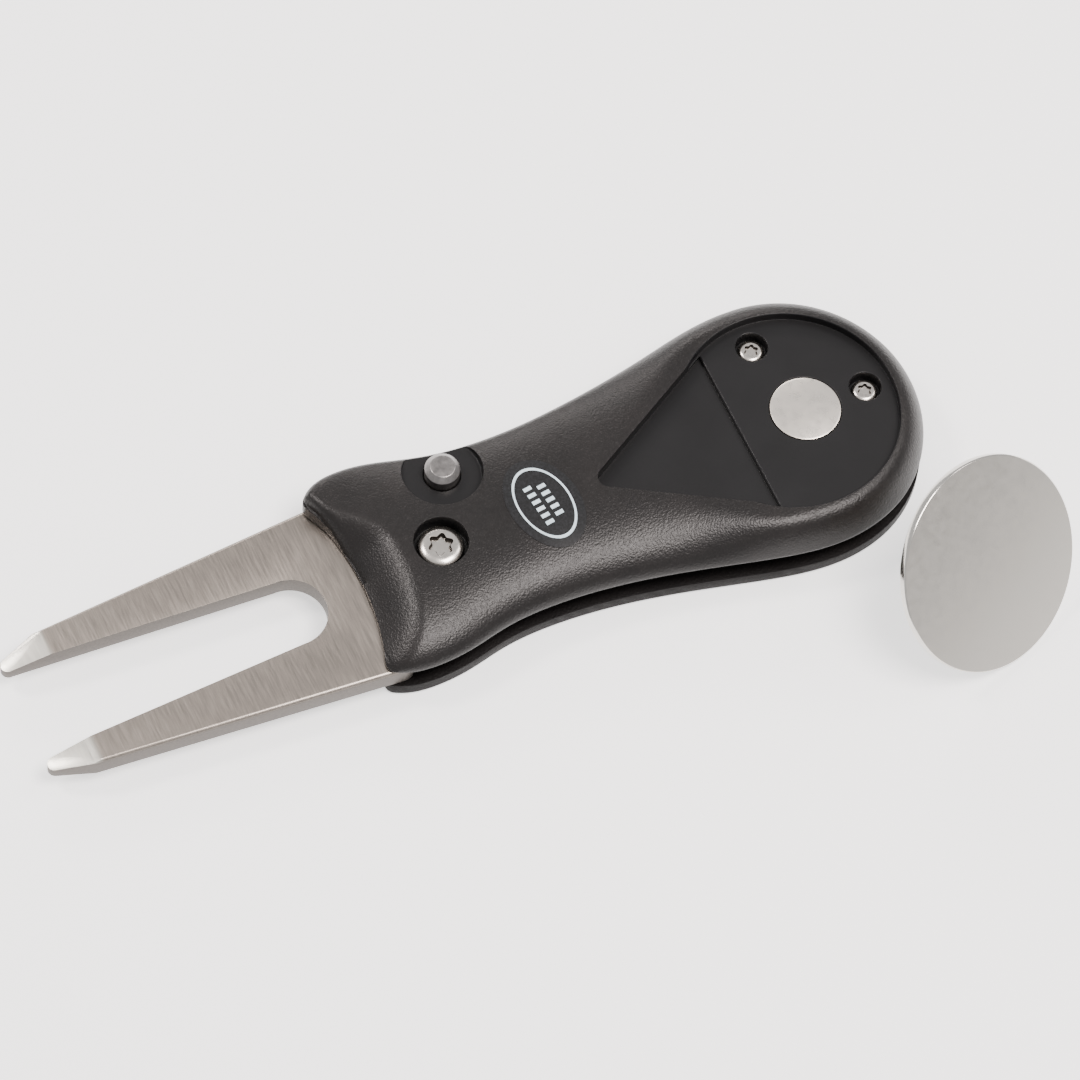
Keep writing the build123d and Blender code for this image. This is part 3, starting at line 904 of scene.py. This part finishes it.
turned = bright_metal("turned_button_steel", (0.29, 0.278, 0.27), roughness=0.30,
                      streak=0.020 * MM, tint=0.35)
button = finished_copy("release_button", "release_button_pin", turned, edge=0.06)
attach(button, "button")
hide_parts("release_button")


# ---- Ball marker ----------------------------------------------------------------
# A loose disc of magnetic stainless, blanked from sheet, with plain satin faces and a
# polished rim. At rest it stands tilted on its edge beside the handle.

polished = bright_metal("polished_marker_steel", (0.41, 0.393, 0.362), roughness=0.36, tint=0.03)
rim_polish = bright_metal("polished_marker_rim", (0.62, 0.60, 0.56), roughness=0.12)
marker = finished_copy("ball_marker", "ball_marker_disc", polished, edge=0.05, angle=25.0, crisp=14.0)
marker.data.materials.append(rim_polish)
SQUARE_ON = 0.95               # how nearly a face has to look along the disc's axis to be flat
axis = max(marker.data.polygons, key=lambda face: face.area).normal.copy()
for face in marker.data.polygons:
    face.material_index = int(abs(face.normal.dot(axis)) < SQUARE_ON)
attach(marker, "marker")
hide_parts("ball_marker")


# ---- Floor, light and camera ----------------------------------------------------
# A plain pale table, soft warm lights overhead, behind and at the right, and a long lens.

TABLE_HALF = 0.8
TABLE_Z = -0.02 * MM           # a little low, so that the handle's flat underside doesn't meet it
floor_mesh = bpy.data.meshes.new("floor")
table_corners = ((-TABLE_HALF, -TABLE_HALF), (TABLE_HALF, -TABLE_HALF),
                 (TABLE_HALF, TABLE_HALF), (-TABLE_HALF, TABLE_HALF))
floor_mesh.from_pydata([(x, y, TABLE_Z) for x, y in table_corners], [], [(0, 1, 2, 3)])
paper, paper_shader, add, join = new_material("pale_table")
paper_shader.inputs["Base Color"].default_value = (0.9, 0.9, 0.9, 1)
paper_shader.inputs["Roughness"].default_value = 0.9
paper_shader.inputs["Emission Color"].default_value = (1, 1, 1, 1)
paper_shader.inputs["Emission Strength"].default_value = 1.0
floor = finish_mesh(floor_mesh, "floor", [paper])
floor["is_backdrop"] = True


WARM = (1.0, 0.925, 0.895)
AIM = (0.01, 0, 0)


def soft_light(name, place, size, power):
    """A warm rectangular lamp, in metres and watts, turned towards the tool's middle."""
    lamp = bpy.data.lights.new(name, "AREA")
    lamp.shape = "RECTANGLE"
    lamp.size, lamp.size_y = size
    lamp.energy = power
    lamp.color = WARM
    holder = bpy.data.objects.new(name, lamp)
    holder.location = place
    holder.rotation_euler = (Vector(AIM) - Vector(place)).to_track_quat("-Z", "Y").to_euler()
    bpy.context.scene.collection.objects.link(holder)


soft_light("overhead_front", (0.14, -0.18, 0.60), size=(0.30, 0.24), power=5.6)
soft_light("back_left", (-0.31, 0.33, 0.60), size=(0.16, 0.16), power=3.0)
soft_light("right", (0.48, 0.0, 0.50), size=(0.16, 0.20), power=0.7)
soft_light("low_back", (0.15, 0.55, 0.30), size=(0.35, 0.12), power=1.2)

world = bpy.data.worlds.new("studio")
world.use_nodes = True
world.node_tree.nodes["Background"].inputs["Color"].default_value = (1.0, 0.99, 1.0, 1)
world.node_tree.nodes["Background"].inputs["Strength"].default_value = 0.85
bpy.context.scene.world = world

azimuth, elevation, roll = (math.radians(a) for a in (-30.36, 60.35, 6.5))
target = Vector((10.614, -3.074, 6.144)) * MM
distance = 0.8
back = Vector((math.sin(azimuth) * math.cos(elevation), -math.cos(azimuth) * math.cos(elevation),
               math.sin(elevation)))
level = Vector((math.cos(azimuth), math.sin(azimuth), 0))
above = back.cross(level)
right = math.cos(roll) * level + math.sin(roll) * above
up = -math.sin(roll) * level + math.cos(roll) * above
camera_data = bpy.data.cameras.new("camera")
camera_data.sensor_width = 36.0
camera_data.lens = 243.0
camera_data.clip_start = 0.01
camera_data.clip_end = 10.0
camera = bpy.data.objects.new("camera", camera_data)
camera.matrix_world = Matrix((
    (right.x, up.x, back.x, target.x + distance * back.x),
    (right.y, up.y, back.y, target.y + distance * back.y),
    (right.z, up.z, back.z, target.z + distance * back.z),
    (0, 0, 0, 1)))
bpy.context.scene.collection.objects.link(camera)
bpy.context.scene.camera = camera

low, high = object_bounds()
